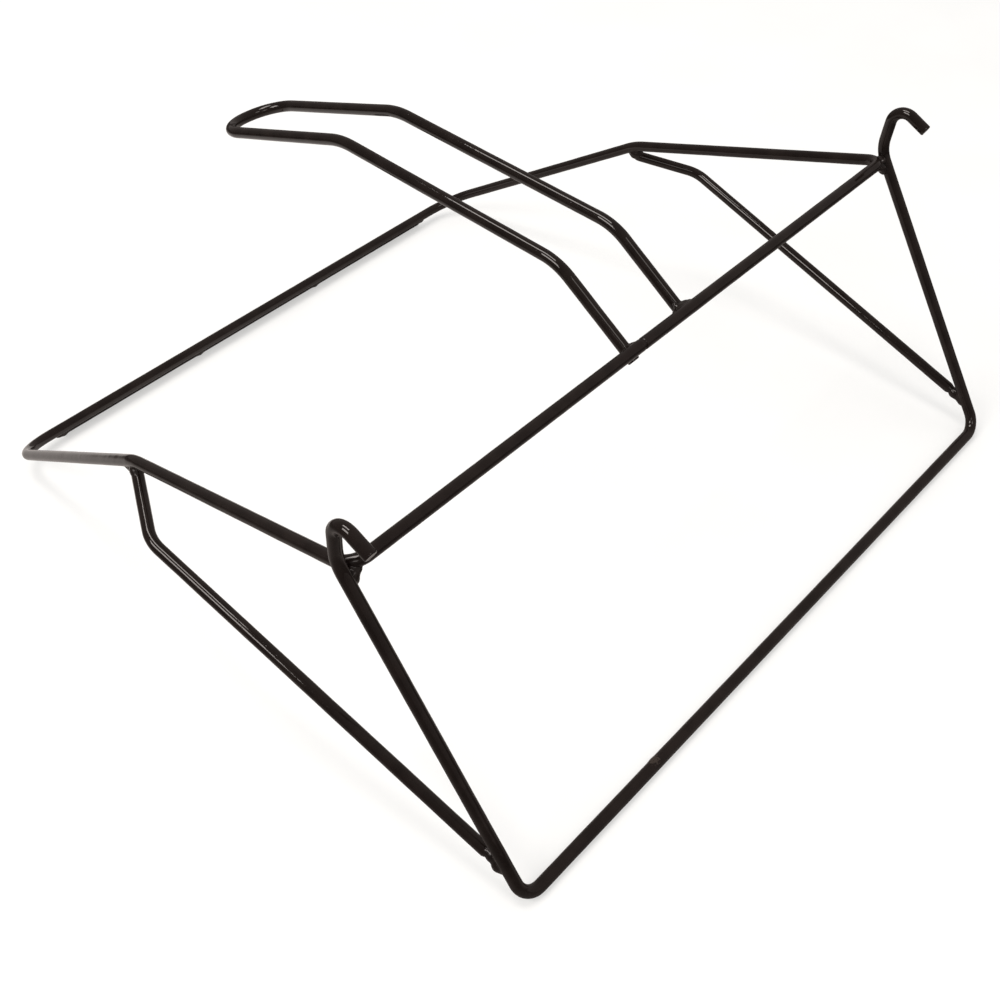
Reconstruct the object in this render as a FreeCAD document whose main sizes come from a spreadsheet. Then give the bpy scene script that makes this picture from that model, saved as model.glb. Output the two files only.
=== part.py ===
"""Hook-on wire rack: bent round rods of one diameter, joined by weld beads.

The rack stands on its bottom bar and on the stiffener rod under its outer bar.
+X runs along the bars, +Y from the hooks towards the outer bar and +Z up, with
the origin on the floor under the middle of the rack. "left" is the -X side.
Every rod is swept along straight runs joined by tangent arcs, and every bead is
a blob from which the rods that it joins are cut away.
"""
import FreeCAD, Part
import math
import os
from FreeCAD import Placement, Rotation, Vector

OUTPUT_FOLDER = "parts"
SIDES = {"left": -1, "right": 1}
# how far the domed ends of a bead round its bar, as a share of the bar's radius
DOME_SHARE = 0.85

# alias: (millimetres or degrees, what it is)
DIMENSIONS = {
    "wire_dia": (8.0, "diameter of every rod"),
    "end_round": (0.7, "rounding of the cut rod ends"),
    "weld_gap": (0.2, "clearance between crossing rods, bridged by their bead"),
    "top_bar_y": (-150.5, "top bar centre"),
    "top_bar_height": (191.5, "top bar centre"),
    "top_corner_x": (264.4, "top corner of the shelf loop"),
    "top_corner_bend": (12.0, "bend radius, on the centre line as all of them"),
    "arm_kink_x": (254.0, "kink in the shelf loop's side"),
    "arm_kink_y": (60.0, "kink in the shelf loop's side"),
    "arm_kink_height": (133.0, "kink in the shelf loop's side"),
    "arm_kink_bend": (55.0, "bend radius"),
    "outer_corner_x": (240.5, "outer corner of the shelf loop"),
    "outer_bar_y": (263.5, "outer bar centre"),
    "outer_bar_height": (10.3, "outer bar centre"),
    "outer_corner_bend": (31.0, "bend radius"),
    "butt_x": (-21.5, "where the shelf loop's two ends meet"),
    "butt_gap": (0.6, "root gap that the butt weld fills"),
    "edge_rod_span": (400.0, "length of the stiffener rod"),
    "leg_top_x": (269.0, "kink at the top of the leg"),
    "leg_top_y": (-145.8, "kink at the top of the leg"),
    "leg_top_height": (196.5, "kink at the top of the leg"),
    "leg_top_bend": (27.0, "bend radius"),
    "leg_foot_x": (266.5, "bottom corner of the frame"),
    "bottom_bar_y": (-268.5, "bottom bar centre"),
    "leg_foot_bend": (13.0, "bend radius"),
    "hook_top_x": (270.2, "crown of the hook"),
    "hook_top_y": (-149.6, "crown of the hook"),
    "hook_top_height": (233.9, "crown of the hook"),
    "hook_bend": (10.0, "bend radius"),
    "hook_reach": (28.5, "crown to the tip"),
    "hook_drop": (28.0, "angle of the tip below the horizontal"),
    "brace_bend_x": (281.0, "outermost point of the brace"),
    "brace_bend_y": (15.2, "outermost point of the brace"),
    "brace_bend_height": (113.0, "outermost point of the brace"),
    "brace_bend": (27.0, "bend radius"),
    "brace_top_reach": (50.0, "bend to the end under the shelf loop"),
    "brace_foot_height": (22.5, "where the brace points at the leg"),
    "brace_foot_gap": (15.5, "from there back to the end of the brace"),
    "retainer_x": (27.5, "half the spacing of the retaining arm's first run"),
    "retainer_far_x": (26.5, "half the spacing of its outer runs"),
    "retainer_kink_y": (-88.5, "first kink"),
    "retainer_kink_height": (226.3, "first kink"),
    "retainer_kink_bend": (42.0, "bend radius"),
    "retainer_crest_y": (100.0, "second kink"),
    "retainer_crest_height": (241.0, "second kink"),
    "retainer_crest_bend": (57.0, "bend radius"),
    "retainer_end_y": (237.5, "outer end"),
    "retainer_end_height": (200.3, "outer end"),
    "retainer_end_bend": (26.2, "bend radius"),
    "retainer_tail_left": (5.0, "left end past the top bar"),
    "retainer_tail_right": (0.2, "right end past the top bar"),
    "corner_bead": (5.2, "half length of the bead between corner and leg"),
    "corner_bead_width": (4.6, "its half width"),
    "brace_bead": (6.4, "half length of the bead at the brace's top"),
    "brace_bead_width": (4.9, "its half width"),
    "foot_bead": (11.0, "half length of the bead at the brace's foot"),
    "foot_bead_width": (5.2, "its half width"),
    "root_bead": (8.6, "half length of the bead at the retainer's root"),
    "root_bead_width": (5.6, "its half width"),
    "root_bead_shift": (2.0, "how far the left root's bead sits towards the middle"),
    "butt_bead_dia": (7.4, "diameter of the butt weld"),
    "tack_end_x": (200.5, "middle of the tack welds at the stiffener rod's ends"),
    "tack_inner_x": (65.2, "middle of the two tack welds between them"),
    "tack_bead": (5.0, "half length of a tack weld"),
    "tack_bead_width": (2.5, "its half width"),
    "tack_bead_depth": (3.2, "its centre below the rods' line of contact"),
}


def make_sheet(doc):
    """Spreadsheet with one aliased row per driving dimension."""
    sheet = doc.addObject("Spreadsheet::Sheet", "sheet")
    for row, (alias, (value, note)) in enumerate(DIMENSIONS.items(), start=1):
        sheet.set("A%d" % row, alias)
        sheet.set("B%d" % row, str(value))
        sheet.set("C%d" % row, note)
        sheet.setAlias("B%d" % row, alias)
    doc.recompute()
    return sheet


def mirrored(point, side):
    """The point on the side asked for: -1 is left, 1 is right."""
    return Vector(point.x * side, point.y, point.z)


def direction(start, end):
    """Unit vector from start to end."""
    return (end - start).normalize()


def bent_path(points, bends):
    """Wire of straight runs with a tangent arc at each inner point."""
    edges = []
    run_start = points[0]
    for before, corner, after, bend in zip(points, points[1:], points[2:], bends):
        back = direction(corner, before)
        ahead = direction(corner, after)
        half_angle = back.getAngle(ahead) / 2
        setback = bend / math.tan(half_angle)
        to_middle = bend / math.sin(half_angle) - bend
        arc_start = corner + back * setback
        arc_end = corner + ahead * setback
        arc_middle = corner + (back + ahead).normalize() * to_middle
        edges.append(Part.LineSegment(run_start, arc_start).toShape())
        edges.append(Part.Arc(arc_start, arc_middle, arc_end).toShape())
        run_start = arc_end
    edges.append(Part.LineSegment(run_start, points[-1]).toShape())
    return Part.Wire(edges)


def end_edges(shape, ends, radius):
    """Numbers of the circular edges around the rod's two end points."""
    numbers = []
    for number, edge in enumerate(shape.Edges, start=1):
        at_end = any((edge.CenterOfMass - end).Length < radius / 10 for end in ends)
        if edge.Length > radius and at_end:
            numbers.append(number)
    return numbers


def rounded_rod(doc, sheet, name, rod, ends):
    """The rod with its two cut edges rounded, under the node's own name."""
    doc.recompute()
    size = float(sheet.end_round)
    edges = end_edges(rod.Shape, ends, float(sheet.wire_dia) / 2)
    finished = doc.addObject("Part::Fillet", name)
    finished.Base = rod
    finished.Edges = [(number, size, size) for number in edges]
    return finished


def bent_rod(doc, sheet, name, points, bends):
    """Round rod swept along the bent path through the points."""
    path = doc.addObject("Part::Feature", name + "_path")
    path.Shape = bent_path(points, bends)
    path.Placement = Placement()
    section = doc.addObject("Part::Circle", name + "_section")
    section.setExpression("Radius", "sheet.wire_dia / 2")
    facing = Rotation(Vector(0, 0, 1), direction(points[0], points[1]))
    section.Placement = Placement(points[0], facing)
    doc.recompute()
    rod = doc.addObject("Part::Sweep", name + "_rod")
    rod.Sections = [section]
    rod.Spine = (path, ["Edge%d" % (i + 1) for i in range(len(path.Shape.Edges))])
    rod.Solid = True
    return rounded_rod(doc, sheet, name, rod, (points[0], points[-1]))


def bead(doc, sheet, name, centre, along, length_alias, width_alias, neighbours):
    """Weld bead: a short bar with domed ends, cut clear of its neighbours."""
    bar = doc.addObject("Part::Cylinder", name + "_bar")
    bar.setExpression("Radius", "sheet." + width_alias)
    bar.setExpression("Height", "2 * sheet." + length_alias)
    half = along.normalize() * float(sheet.get(length_alias))
    bar.Placement = Placement(centre - half, Rotation(Vector(0, 0, 1), along))
    doc.recompute()
    dome = DOME_SHARE * float(sheet.get(width_alias))
    rims = end_edges(bar.Shape, (centre - half, centre + half), dome)
    remaining = doc.addObject("Part::Fillet", name + "_blob")
    remaining.Base = bar
    remaining.Edges = [(number, dome, dome) for number in rims]
    for number, neighbour in enumerate(neighbours, start=1):
        last = number == len(neighbours)
        cut = doc.addObject("Part::Cut", name if last else "%s_cut_%d" % (name, number))
        cut.Base = remaining
        cut.Tool = neighbour
        remaining = cut
    return remaining


def loop_points(sheet):
    """Corners of the right half of the shelf loop, from the top bar outwards."""
    top = Vector(sheet.top_corner_x, sheet.top_bar_y, sheet.top_bar_height)
    kink = Vector(sheet.arm_kink_x, sheet.arm_kink_y, sheet.arm_kink_height)
    outer = Vector(sheet.outer_corner_x, sheet.outer_bar_y, sheet.outer_bar_height)
    return [top, kink, outer]


def shelf_loop(doc, sheet):
    """One closed rod: top bar, two kinked sides and outer bar."""
    right = loop_points(sheet)
    left = [mirrored(point, -1) for point in reversed(right)]
    half_gap = Vector(sheet.butt_gap / 2, 0, 0)
    joint = Vector(sheet.butt_x, sheet.top_bar_y, sheet.top_bar_height)
    bends = [sheet.top_corner_bend, sheet.arm_kink_bend, sheet.outer_corner_bend]
    points = [joint + half_gap] + right + left + [joint - half_gap]
    return bent_rod(doc, sheet, "shelf_loop", points, bends + bends[::-1])


def frame_points(sheet):
    """Corners of the right half of the hook frame, from the tip downwards."""
    crown = Vector(sheet.hook_top_x, sheet.hook_top_y, sheet.hook_top_height)
    drop = math.radians(sheet.hook_drop)
    tip = crown + Vector(0, -math.cos(drop), -math.sin(drop)) * sheet.hook_reach
    leg_top = Vector(sheet.leg_top_x, sheet.leg_top_y, sheet.leg_top_height)
    foot = Vector(sheet.leg_foot_x, sheet.bottom_bar_y, sheet.wire_dia / 2)
    return [tip, crown, leg_top, foot]


def hook_frame(doc, sheet):
    """One rod: hook, leg, bottom bar, leg and hook."""
    right = frame_points(sheet)
    left = [mirrored(point, -1) for point in reversed(right)]
    bends = [sheet.hook_bend, sheet.leg_top_bend, sheet.leg_foot_bend]
    return bent_rod(doc, sheet, "hook_frame", right + left, bends + bends[::-1])


def point_on_leg(sheet, height):
    """Centre of the right leg at a height."""
    leg_top, foot = frame_points(sheet)[2:]
    return foot + (leg_top - foot) * ((height - foot.z) / (leg_top.z - foot.z))


def brace_points(sheet):
    """Top end, bend and foot end of the right brace."""
    bend = Vector(sheet.brace_bend_x, sheet.brace_bend_y, sheet.brace_bend_height)
    kink = loop_points(sheet)[1]
    # the end lies under the shelf loop, one rod diameter below its centre line
    under_kink = kink - Vector(0, 0, sheet.wire_dia)
    top = bend + direction(bend, under_kink) * sheet.brace_top_reach
    target = point_on_leg(sheet, sheet.brace_foot_height)
    foot = target + direction(target, bend) * sheet.brace_foot_gap
    return [top, bend, foot]


def brace(doc, sheet, name, side):
    """Rod from under the shelf loop's kink, out and down to the leg's foot."""
    points = [mirrored(point, side) for point in brace_points(sheet)]
    return bent_rod(doc, sheet, name, points, [sheet.brace_bend])


def retainer_root(sheet, side):
    """Point beside the top bar's centre and the direction of the root run.

    The run passes under the top bar, touching it, so its line is a tangent to
    a circle around the bar's centre.
    """
    kink = Vector(sheet.retainer_x * side, sheet.retainer_kink_y, sheet.retainer_kink_height)
    bar = Vector(kink.x, sheet.top_bar_y, sheet.top_bar_height)
    spread = (bar - kink).Length
    clear = sheet.wire_dia + sheet.weld_gap
    fall = math.atan2(kink.z - bar.z, kink.y - bar.y) + math.asin(clear / spread)
    down = Vector(0, -math.cos(fall), -math.sin(fall))
    beside = kink + down * math.sqrt(spread ** 2 - clear ** 2)
    return beside, down


def retaining_arm(doc, sheet):
    """U-shaped rod that rises from the top bar and reaches over the shelf."""
    kink = Vector(sheet.retainer_x, sheet.retainer_kink_y, sheet.retainer_kink_height)
    crest = Vector(sheet.retainer_far_x, sheet.retainer_crest_y, sheet.retainer_crest_height)
    end = Vector(sheet.retainer_far_x, sheet.retainer_end_y, sheet.retainer_end_height)
    right = [kink, crest, end]
    left = [mirrored(point, -1) for point in reversed(right)]
    beside_right, down = retainer_root(sheet, 1)
    beside_left = mirrored(beside_right, -1)
    start = beside_right + down * sheet.retainer_tail_right
    finish = beside_left + down * sheet.retainer_tail_left
    bends = [sheet.retainer_kink_bend, sheet.retainer_crest_bend, sheet.retainer_end_bend]
    points = [start] + right + left + [finish]
    return bent_rod(doc, sheet, "retaining_arm", points, bends + bends[::-1])


def edge_rod_centre(sheet):
    """Middle of the stiffener rod: on the floor, touching the outer bar."""
    rise = sheet.outer_bar_height - sheet.wire_dia / 2
    clear = sheet.wire_dia + sheet.weld_gap
    out = math.sqrt(clear ** 2 - rise ** 2)
    return Vector(0, sheet.outer_bar_y + out, sheet.wire_dia / 2)


def edge_rod(doc, sheet):
    """Straight rod that stiffens the outer bar and carries it on the floor."""
    rod = doc.addObject("Part::Cylinder", "edge_rod_bar")
    rod.setExpression("Radius", "sheet.wire_dia / 2")
    rod.setExpression("Height", "sheet.edge_rod_span")
    half = Vector(sheet.edge_rod_span / 2, 0, 0)
    middle = edge_rod_centre(sheet)
    rod.Placement = Placement(middle - half, Rotation(Vector(0, 0, 1), Vector(1, 0, 0)))
    return rounded_rod(doc, sheet, "edge_rod", rod, (middle - half, middle + half))


def corner_bead(doc, sheet, name, side, loop, frame):
    """Bead under the shelf loop's top corner, against the inside of the leg."""
    corner = loop_points(sheet)[0]
    leg = point_on_leg(sheet, corner.z - sheet.wire_dia)
    centre = Vector(corner.x - 1.6, leg.y + 2.6, corner.z - sheet.wire_dia + 1.2)
    along = mirrored(Vector(0, 0.54, 0.84), side)
    return bead(doc, sheet, name, mirrored(centre, side), along, "corner_bead", "corner_bead_width",
                [loop, frame])


def brace_top_bead(doc, sheet, name, side, loop, rod):
    """Bead around the brace's end, under the shelf loop's kink."""
    top, bend = brace_points(sheet)[:2]
    outward = direction(bend, top)
    centre = top + outward * 2.2 + Vector(0, 0, 1.6)
    return bead(doc, sheet, name, mirrored(centre, side), mirrored(outward, side), "brace_bead",
                "brace_bead_width", [loop, rod])


def brace_foot_bead(doc, sheet, name, side, frame, rod):
    """Bead that fills the wedge between the brace's end and the leg's front."""
    bend, foot = brace_points(sheet)[1:]
    leg_top, leg_foot = frame_points(sheet)[2:]
    target = point_on_leg(sheet, sheet.brace_foot_height)
    down_leg = direction(leg_top, leg_foot)
    centre = target - direction(bend, foot) * 8.0 + down_leg * 1.0
    slope = (direction(bend, foot) + down_leg).normalize()
    return bead(doc, sheet, name, mirrored(centre, side), mirrored(slope, side), "foot_bead",
                "foot_bead_width", [frame, rod])


def root_bead(doc, sheet, name, side, neighbours):
    """Bead around the place where the retaining arm passes under the top bar."""
    beside, down = retainer_root(sheet, side)
    bar = Vector(beside.x, sheet.top_bar_y, sheet.top_bar_height)
    shift = sheet.root_bead_shift if side < 0 else 0
    centre = beside + (bar - beside) * 0.45 - down * 1.5 + Vector(shift, 0, 0)
    return bead(doc, sheet, name, centre, Vector(1, 0, 0), "root_bead", "root_bead_width",
                neighbours)


def butt_bead(doc, sheet):
    """Disc of weld metal between the shelf loop's two ends."""
    disc = doc.addObject("Part::Cylinder", "weld_butt")
    disc.setExpression("Radius", "sheet.butt_bead_dia / 2")
    disc.setExpression("Height", "sheet.butt_gap")
    start = Vector(sheet.butt_x - sheet.butt_gap / 2, sheet.top_bar_y, sheet.top_bar_height)
    disc.Placement = Placement(start, Rotation(Vector(0, 0, 1), Vector(1, 0, 0)))
    return disc


def tack_bead(doc, sheet, name, x, loop, rod):
    """Short bead in the groove between the outer bar and the stiffener rod."""
    bar = Vector(x, sheet.outer_bar_y, sheet.outer_bar_height)
    rod_centre = edge_rod_centre(sheet)
    across = Vector(0, rod_centre.y - bar.y, rod_centre.z - bar.z)
    groove = Vector(0, across.z, -across.y).normalize()
    # the inner, lower groove, which faces the rack's underside
    centre = bar + across * 0.5 + groove * sheet.tack_bead_depth
    return bead(doc, sheet, name, centre, Vector(1, 0, 0), "tack_bead", "tack_bead_width",
                [loop, rod])


def build(doc, sheet):
    """All sub-parts of the rack, each under its node's name."""
    loop = shelf_loop(doc, sheet)
    frame = hook_frame(doc, sheet)
    arm = retaining_arm(doc, sheet)
    rod = edge_rod(doc, sheet)
    butt = butt_bead(doc, sheet)
    parts = [loop, frame, arm, rod, butt]
    for word, side in SIDES.items():
        strut = brace(doc, sheet, "brace_" + word, side)
        parts.append(strut)
        parts.append(corner_bead(doc, sheet, "weld_corner_" + word, side, loop, frame))
        parts.append(brace_top_bead(doc, sheet, "weld_brace_top_" + word, side, loop, strut))
        parts.append(brace_foot_bead(doc, sheet, "weld_brace_foot_" + word, side, frame, strut))
        joined = [loop, arm, butt]
        parts.append(root_bead(doc, sheet, "weld_retainer_" + word, side, joined))
    places = [-sheet.tack_end_x, -sheet.tack_inner_x, sheet.tack_inner_x, sheet.tack_end_x]
    for number, x in enumerate(places, start=1):
        parts.append(tack_bead(doc, sheet, "weld_tack_%d" % number, x, loop, rod))
    return parts


def check(doc, parts):
    """Stop when an object failed or a sub-part isn't one valid solid."""
    for item in doc.Objects:
        if "Invalid" in item.State or "Error" in item.State:
            raise RuntimeError("%s failed: %s" % (item.Name, item.State))
    for part in parts:
        if part.Shape.isNull() or not part.Shape.isValid():
            raise RuntimeError("%s has no valid shape" % part.Name)
        if len(part.Shape.Solids) != 1:
            raise RuntimeError("%s has %d solids" % (part.Name, len(part.Shape.Solids)))


def main():
    """Build the rack, check it and write one STEP file per sub-part."""
    doc = FreeCAD.newDocument("wire_rack")
    sheet = make_sheet(doc)
    parts = build(doc, sheet)
    for part in parts:
        part.Label = part.Name
    doc.recompute()
    check(doc, parts)
    os.makedirs(OUTPUT_FOLDER, exist_ok=True)
    for part in parts:
        part.Shape.exportStep(os.path.join(OUTPUT_FOLDER, part.Label + ".step"))
        box = part.Shape.BoundBox
        print("%-24s %10.1f mm3  x %.1f..%.1f  y %.1f..%.1f  z %.1f..%.1f" % (
            part.Label, part.Shape.Volume, box.XMin, box.XMax, box.YMin, box.YMax,
            box.ZMin, box.ZMax))


main()
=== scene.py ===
"""Looks of the hook-on wire rack: enamelled rods, poured weld beads and the studio.

Everything is in metres in the rack's own frame: +X runs along the bars, +Y from
the hooks towards the outer bar and +Z up from the floor. "left" is the -X side.
"""

import logging
import math
import random
from collections.abc import Callable
from dataclasses import dataclass, field, replace
from enum import Enum

import bmesh
import bpy
from mathutils import Matrix, Vector


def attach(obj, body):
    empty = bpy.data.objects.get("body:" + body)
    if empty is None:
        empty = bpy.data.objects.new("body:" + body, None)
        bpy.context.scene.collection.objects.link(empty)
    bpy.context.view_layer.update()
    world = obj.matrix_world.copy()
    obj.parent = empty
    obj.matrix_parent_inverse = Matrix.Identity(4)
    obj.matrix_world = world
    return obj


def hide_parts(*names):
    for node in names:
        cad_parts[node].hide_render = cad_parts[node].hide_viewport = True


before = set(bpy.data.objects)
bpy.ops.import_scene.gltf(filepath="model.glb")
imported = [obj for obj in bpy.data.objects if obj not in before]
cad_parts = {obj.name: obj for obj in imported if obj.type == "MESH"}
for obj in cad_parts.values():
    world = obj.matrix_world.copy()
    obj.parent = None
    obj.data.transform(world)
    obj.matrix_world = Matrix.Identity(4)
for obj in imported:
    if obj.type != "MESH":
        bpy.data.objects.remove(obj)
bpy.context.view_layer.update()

LOG = logging.getLogger("wire_rack")
MM = 0.001


def mm(x: float, y: float, z: float) -> Vector:
    """A point or step given in millimetres, in metres."""
    return Vector((x, y, z)) * MM


class Side(Enum):
    """The two sides of the rack, as signs of X."""

    LEFT = -1
    RIGHT = 1

    @property
    def word(self) -> str:
        """The side's name as it ends a piece's name."""
        return self.name.lower()

    @property
    def number(self) -> int:
        """1 for the left side and 2 for the right one."""
        return 1 if self is Side.LEFT else 2

    def place(self, point: Vector) -> Vector:
        """The point of the right half, moved to this side."""
        return Vector((point.x * self.value, point.y, point.z))


class Slot(Enum):
    """The record's material slots."""

    ROD = "rod_enamel"
    WELD = "weld_enamel"


class Joint(Enum):
    """The kinds of joint that get a bead; each value starts its beads' seeds."""

    CORNER = 10
    BRACE_TOP = 20
    BRACE_FOOT = 30
    ROOT = 40
    TACK = 50

    def seed(self, number: int) -> int:
        """Seed of this kind's bead of the given number."""
        return self.value + number


# --------------------------------------------------------------------------
# Centre lines
# --------------------------------------------------------------------------


@dataclass(frozen=True)
class Turn:
    """A round bend of a rod.

    Args:
        start: where the bend begins.
        end: where the bend ends.
        centre: the point that it turns about.
        axis: the axis that it turns about.
        angle: how far it turns, in radians.
    """

    start: Vector
    end: Vector
    centre: Vector
    axis: Vector
    angle: float


@dataclass(frozen=True)
class Route:
    """Centre line of a rod: straight runs joined by round bends.

    Args:
        corners: the points where the runs would meet, with both ends.
        bends: the bend radius at each inner corner.
    """

    corners: tuple[Vector, ...]
    bends: tuple[float, ...] = ()

    def turns(self) -> list[Turn]:
        """The bends in order."""
        result = []
        steps = zip(self.corners, self.corners[1:], self.corners[2:], self.bends)
        for before, corner, after, bend in steps:
            back = (before - corner).normalized()
            ahead = (after - corner).normalized()
            half = back.angle(ahead) / 2
            setback = bend / math.tan(half)
            centre = corner + (back + ahead).normalized() * (bend / math.sin(half))
            axis = ahead.cross(back).normalized()
            result.append(Turn(corner + back * setback, corner + ahead * setback,
                               centre, axis, math.pi - 2 * half))
        return result

    def on(self, side: Side) -> "Route":
        """The same route on the side asked for."""
        return Route(tuple(side.place(point) for point in self.corners), self.bends)

    def reversed(self) -> "Route":
        """The same route from its other end."""
        return Route(self.corners[::-1], self.bends[::-1])


# --------------------------------------------------------------------------
# Workbench
# --------------------------------------------------------------------------


class Bench:
    """The place where one piece at a time is shaped with the edit tools."""

    @staticmethod
    def clear() -> None:
        """Leaves nothing selected, so that a tool acts on the new piece only."""
        bpy.ops.object.select_all(action="DESELECT")

    @staticmethod
    def pick(piece: bpy.types.Object) -> None:
        """Selects one piece and makes it the active one."""
        Bench.clear()
        piece.select_set(True)
        bpy.context.view_layer.objects.active = piece

    @staticmethod
    def settle() -> bpy.types.Object:
        """Moves the new primitive's place into its mesh and returns it."""
        bpy.ops.object.transform_apply(location=True, rotation=True, scale=True)
        return bpy.context.object

    @staticmethod
    def turned_to(along: Vector) -> tuple[float, float, float]:
        """The rotation that turns a primitive's Z axis along a direction."""
        return tuple(along.to_track_quat("Z", "Y").to_euler())

    @staticmethod
    def edit(piece: bpy.types.Object) -> None:
        """Opens the piece in edit mode."""
        Bench.pick(piece)
        bpy.ops.object.mode_set(mode="EDIT")

    @staticmethod
    def done() -> None:
        """Closes edit mode."""
        bpy.ops.object.mode_set(mode="OBJECT")

    @staticmethod
    def choose_faces(piece: bpy.types.Object,
                     wanted: Callable[[bmesh.types.BMFace], bool]) -> None:
        """Selects the faces of the edited piece that pass a test.

        Args:
            piece: the piece in edit mode.
            wanted: the test for one face.
        """
        bpy.ops.mesh.select_all(action="DESELECT")
        bpy.ops.mesh.select_mode(type="FACE")
        mesh = bmesh.from_edit_mesh(piece.data)
        for face in mesh.faces:
            if wanted(face):
                face.select_set(True)
        bmesh.update_edit_mesh(piece.data)

    @staticmethod
    def apply(piece: bpy.types.Object, modifier: bpy.types.Modifier) -> None:
        """Makes a modifier's result the piece's mesh."""
        Bench.pick(piece)
        bpy.ops.object.modifier_apply(modifier=modifier.name)


@dataclass(frozen=True)
class Nub:
    """A small swelling of the surface, such as a drip or a burr, or a dent.

    Args:
        spot: the surface point that moves furthest.
        rise: how far and which way it moves.
        reach: the radius of the surface that moves with it.
    """

    spot: Vector
    rise: Vector
    reach: float


@dataclass
class RodBender:
    """Makes round rod as a wire bender does: it feeds, turns and feeds again.

    Args:
        radius: half the rod's diameter.
        sides: faces around the rod.
        feed_step: length of rod between two rings on a straight run.
        turn_step: length of rod between two rings in a bend.
        end_round: how far the cut ends are rounded.
        end_rim: width of the flat rim of a cut end, as a share of the radius.
        end_dish: how deep a cut end is dished, as a share of the radius.
    """

    radius: float = 4.0 * MM
    sides: int = 32
    feed_step: float = 2.0 * MM
    turn_step: float = 1.2 * MM
    end_round: float = 0.7 * MM
    end_rim: float = 0.3
    end_dish: float = 0.03

    def make(self, name: str, route: Route) -> bpy.types.Object:
        """Feeds and bends a rod along a route, and closes its ends.

        Args:
            name: the piece's name.
            route: the rod's centre line.

        Returns:
            The rod, with its place in its mesh.
        """
        start, after = route.corners[:2]
        Bench.clear()
        bpy.ops.mesh.primitive_circle_add(
            vertices=self.sides, radius=self.radius, fill_type="NOTHING",
            location=start, rotation=Bench.turned_to(after - start))
        rod = Bench.settle()
        rod.name = name
        Bench.edit(rod)
        bpy.ops.mesh.select_mode(type="VERT")
        bpy.ops.mesh.select_all(action="SELECT")
        for turn in route.turns():
            self._feed(turn.start - start)
            self._turn(turn)
            start = turn.end
        self._feed(route.corners[-1] - start)
        self._close_ends(rod)
        Bench.done()
        return rod

    def _feed(self, run: Vector) -> None:
        """Pushes the selected ring forwards along a straight run.

        Args:
            run: how far and which way it goes.
        """
        steps = max(1, round(run.length / self.feed_step))
        for _ in range(steps):
            bpy.ops.mesh.extrude_region_move(TRANSFORM_OT_translate={"value": run / steps})

    def _turn(self, turn: Turn) -> None:
        """Carries the selected ring round a bend.

        Args:
            turn: the bend.
        """
        outer = (turn.start - turn.centre).length + self.radius
        steps = max(4, round(outer * turn.angle / self.turn_step))
        # spin turns clockwise about its axis
        bpy.ops.mesh.spin(steps=steps, angle=-turn.angle, center=turn.centre, axis=turn.axis)

    def _close_ends(self, rod: bpy.types.Object) -> None:
        """Closes the two sheared ends, rounds their rims and dishes them a little.

        Args:
            rod: the rod in edit mode.
        """
        bpy.ops.mesh.select_all(action="SELECT")
        bpy.ops.mesh.fill_holes(sides=0)
        bpy.ops.mesh.select_all(action="SELECT")
        bpy.ops.mesh.normals_make_consistent(inside=False)
        Bench.choose_faces(rod, self._is_end)
        bpy.ops.mesh.bevel(offset=self.end_round, segments=4, affect="EDGES")
        Bench.choose_faces(rod, self._is_end)
        bpy.ops.mesh.inset(thickness=self.end_rim * self.radius,
                           depth=-self.end_dish * self.radius, use_individual=True)
        Bench.choose_faces(rod, self._is_end)
        bpy.ops.mesh.poke()

    @staticmethod
    def _is_end(face: bmesh.types.BMFace) -> bool:
        """Whether a face is a rod's round end, with more corners than a quad."""
        return len(face.verts) > 4


class EnamelCoat:
    """The thickness of the enamel: uneven all over, with a few nubs."""

    @staticmethod
    def raise_nubs(piece: bpy.types.Object, nubs: list[Nub]) -> None:
        """Moves small patches of the surface.

        Args:
            piece: the piece to work on.
            nubs: the patches.
        """
        if not nubs:
            return
        Bench.edit(piece)
        bpy.ops.mesh.select_mode(type="VERT")
        for nub in nubs:
            bpy.ops.mesh.select_all(action="DESELECT")
            mesh = bmesh.from_edit_mesh(piece.data)
            nearest = min(mesh.verts, key=lambda vert: (vert.co - nub.spot).length_squared)
            nearest.select_set(True)
            bmesh.update_edit_mesh(piece.data)
            bpy.ops.transform.translate(
                value=nub.rise, use_proportional_edit=True,
                proportional_edit_falloff="SMOOTH", proportional_size=nub.reach)
        Bench.done()

    @staticmethod
    def spread(piece: bpy.types.Object, depth: float, grain: float) -> None:
        """Makes the coat a little thicker here and thinner there.

        Args:
            piece: the piece to coat.
            depth: difference between the thickest and thinnest coat.
            grain: distance between two thick places.
        """
        clouds = bpy.data.textures.new(piece.name + "_coat", type="CLOUDS")
        clouds.noise_scale = grain
        coat = piece.modifiers.new("coat", "DISPLACE")
        coat.texture = clouds
        coat.texture_coords = "LOCAL"
        coat.strength = depth
        coat.mid_level = 0.5
        Bench.apply(piece, coat)
        bpy.data.textures.remove(clouds)


# --------------------------------------------------------------------------
# Finishes
# --------------------------------------------------------------------------

Colour = tuple[float, float, float, float]
BLACK: Colour = (0.0, 0.0, 0.0, 1.0)


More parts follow.
